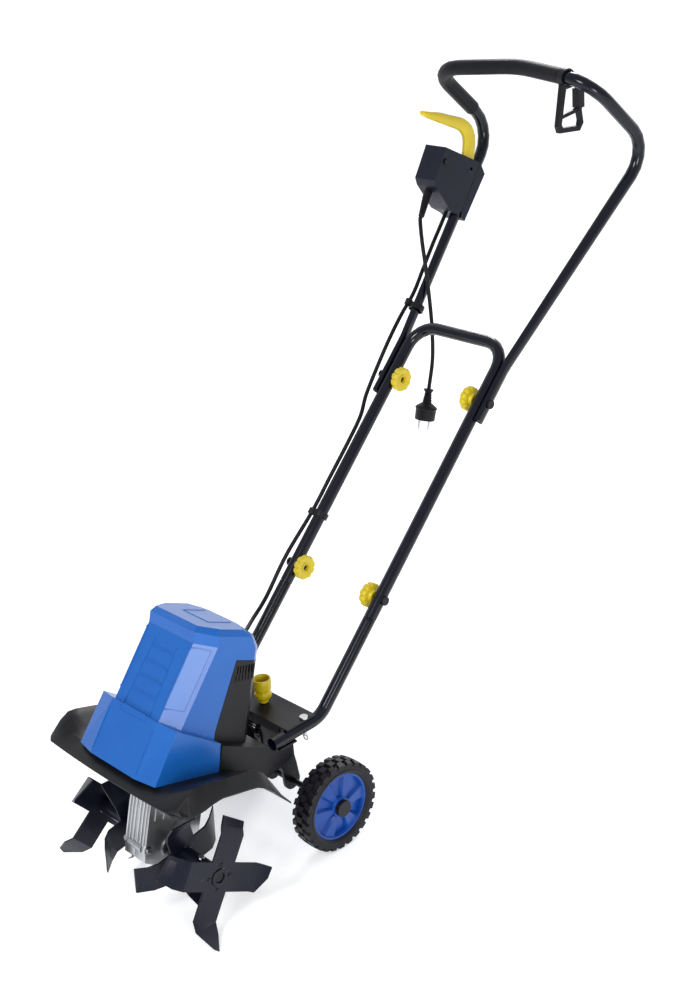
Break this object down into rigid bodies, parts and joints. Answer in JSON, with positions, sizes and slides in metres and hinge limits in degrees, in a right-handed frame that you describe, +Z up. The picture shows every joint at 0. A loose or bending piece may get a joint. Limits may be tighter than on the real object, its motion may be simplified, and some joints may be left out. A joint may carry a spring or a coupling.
{
  "type": "electric garden tiller",
  "caption": "Corded electric tiller: motor pod over a worm gearbox, bladed rotors on a cross shaft, a fender, two transport wheels on a swinging arm and a folding tube handle.",
  "frame": {"origin": "middle of the bottom of the bounding box, taken without the free cord and plug", "axes": "+X forward (away from the operator), +Y to the operator's left, +Z up; the tine shaft runs along Y"},
  "size_m": [1.0776, 0.3576, 1.1063],
  "materials": {
    "blue_plastic": "glossy",
    "black_plastic": "matte",
    "rubber": "matte",
    "cast_aluminium": "satin",
    "steel": "satin",
    "copper_winding": "satin",
    "bronze": "satin",
    "tine_paint": "satin",
    "tube_paint": "glossy",
    "yellow_plastic": "glossy",
    "frame_paint": "satin",
    "tyre": "matte"
  },
  "bodies": {
    "chassis": {"motor_cover": "blue_plastic", "fender": "black_plastic", "rear_housing": "black_plastic", "cable_gland": "rubber", "gearbox_left": "cast_aluminium", "gearbox_right": "cast_aluminium", "stator": "steel", "brush_ring": "black_plastic", "rear_frame": "frame_paint", "cross_plate": "frame_paint", "clevis_pin_left": "steel", "clevis_pin_right": "steel", "lower_tube_left": "tube_paint", "lower_tube_right": "tube_paint", "middle_tube": "tube_paint", "lower_bolt_left": "steel", "lower_bolt_right": "steel", "upper_bolt_left": "steel", "upper_bolt_right": "steel", "arm_pivot": "steel", "motor_cable_lower": "rubber", "cable_clip_lower": "black_plastic", "lock_spring": "steel"},
    "armature": {"armature": "copper_winding", "cooling_fan": "black_plastic", "worm": "steel"},
    "tine_rotor": {"tine_shaft": "steel", "worm_wheel": "bronze", "tine_outer_left": "tine_paint", "tine_outer_right": "tine_paint", "tine_inner_left": "tine_paint", "tine_inner_right": "tine_paint", "tine_hub_left": "tine_paint", "tine_hub_right": "tine_paint", "hub_pin_left": "steel", "hub_pin_right": "steel"},
    "wheel_arm": {"wheel_arm": "frame_paint", "wheel_axle": "black_plastic"},
    "wheel_left": {"tyre_left": "tyre", "wheel_disc_left": "blue_plastic"},
    "wheel_right": {"tyre_right": "tyre", "wheel_disc_right": "blue_plastic"},
    "pull_knob": {"pull_knob": "yellow_plastic"},
    "knob_lower_left": {"star_knob_lower_left": "yellow_plastic"},
    "knob_lower_right": {"star_knob_lower_right": "yellow_plastic"},
    "knob_upper_left": {"star_knob_upper_left": "yellow_plastic"},
    "knob_upper_right": {"star_knob_upper_right": "yellow_plastic"},
    "upper_handle": {"upper_handle": "tube_paint", "grip_sleeve": "rubber", "switch_box_front": "black_plastic", "switch_box_rear": "black_plastic", "cable_boot": "rubber", "supply_cord": "rubber", "plug": "rubber", "motor_cable_upper": "rubber", "cable_clip_upper": "black_plastic", "microswitch": "black_plastic"},
    "switch_lever": {"switch_lever": "yellow_plastic"},
    "lock_button": {"lock_button": "black_plastic"},
    "cord_hook": {"cord_hook": "black_plastic"}
  },
  "joints": [
    {"name": "tine_spin", "type": "hinge", "parent": "chassis", "child": "tine_rotor", "pos_m": [0.45051, 0.0022, 0.09074], "axis": [0, 1, 0], "continuous": true},
    {"name": "armature_spin", "type": "hinge", "parent": "chassis", "child": "armature", "pos_m": [0.41501, 0.0022, 0.08021], "axis": [-0.284, 0, 0.9588], "continuous": true},
    {"name": "wheel_arm_swing", "type": "hinge", "parent": "chassis", "child": "wheel_arm", "pos_m": [0.23851, 0.0022, 0.18611], "axis": [0, 1, 0], "range_deg": [0, 40]},
    {"name": "wheel_spin_left", "type": "hinge", "parent": "wheel_arm", "child": "wheel_left", "pos_m": [0.20051, 0.1242, 0.07511], "axis": [0, 1, 0], "continuous": true},
    {"name": "wheel_spin_right", "type": "hinge", "parent": "wheel_arm", "child": "wheel_right", "pos_m": [0.20051, -0.1198, 0.07511], "axis": [0, 1, 0], "continuous": true},
    {"name": "pull_knob_slide", "type": "slide", "parent": "chassis", "child": "pull_knob", "axis": [0, 0, 1], "range_m": [0, 0.007], "stiffness_N_per_m": 1500, "springref_m": -0.004, "deforming": ["lock_spring"]},
    {"name": "star_knob_lower_left_turn", "type": "hinge", "parent": "chassis", "child": "knob_lower_left", "pos_m": [0.04801, 0.0802, 0.36711], "axis": [0, 1, 0], "continuous": true},
    {"name": "star_knob_lower_right_turn", "type": "hinge", "parent": "chassis", "child": "knob_lower_right", "pos_m": [0.04801, -0.0758, 0.36711], "axis": [0, 1, 0], "continuous": true},
    {"name": "star_knob_upper_left_turn", "type": "hinge", "parent": "chassis", "child": "knob_upper_left", "pos_m": [-0.20199, 0.0802, 0.61711], "axis": [0, 1, 0], "continuous": true},
    {"name": "star_knob_upper_right_turn", "type": "hinge", "parent": "chassis", "child": "knob_upper_right", "pos_m": [-0.20199, -0.0758, 0.61711], "axis": [0, 1, 0], "continuous": true},
    {"name": "handle_fold", "type": "hinge", "parent": "chassis", "child": "upper_handle", "pos_m": [-0.20199, 0.0022, 0.61711], "axis": [0, 1, 0], "range_deg": [0, 120], "deforming": ["motor_cable_upper", "motor_cable_lower", "supply_cord"]},
    {"name": "switch_lever_squeeze", "type": "hinge", "parent": "upper_handle", "child": "switch_lever", "pos_m": [-0.46149, -0.1448, 0.90811], "axis": [0, -1, 0], "range_deg": [0, 10], "stiffness_Nm_per_rad": 1.2, "springref_deg": -20.05},
    {"name": "lock_button_press", "type": "slide", "parent": "upper_handle", "child": "lock_button", "axis": [0, -1, 0], "range_m": [0, 0.003], "stiffness_N_per_m": 300, "springref_m": -0.003},
    {"name": "cord_hook_swing", "type": "hinge", "parent": "upper_handle", "child": "cord_hook", "pos_m": [-0.41755, 0.1102, 1.08829], "axis": [0.1457, 0.9875, -0.0605], "range_deg": [-40, 40]}
  ],
  "couplings": [
    {"joint": "armature_spin", "follows": "tine_spin", "ratio": 40}
  ]
}
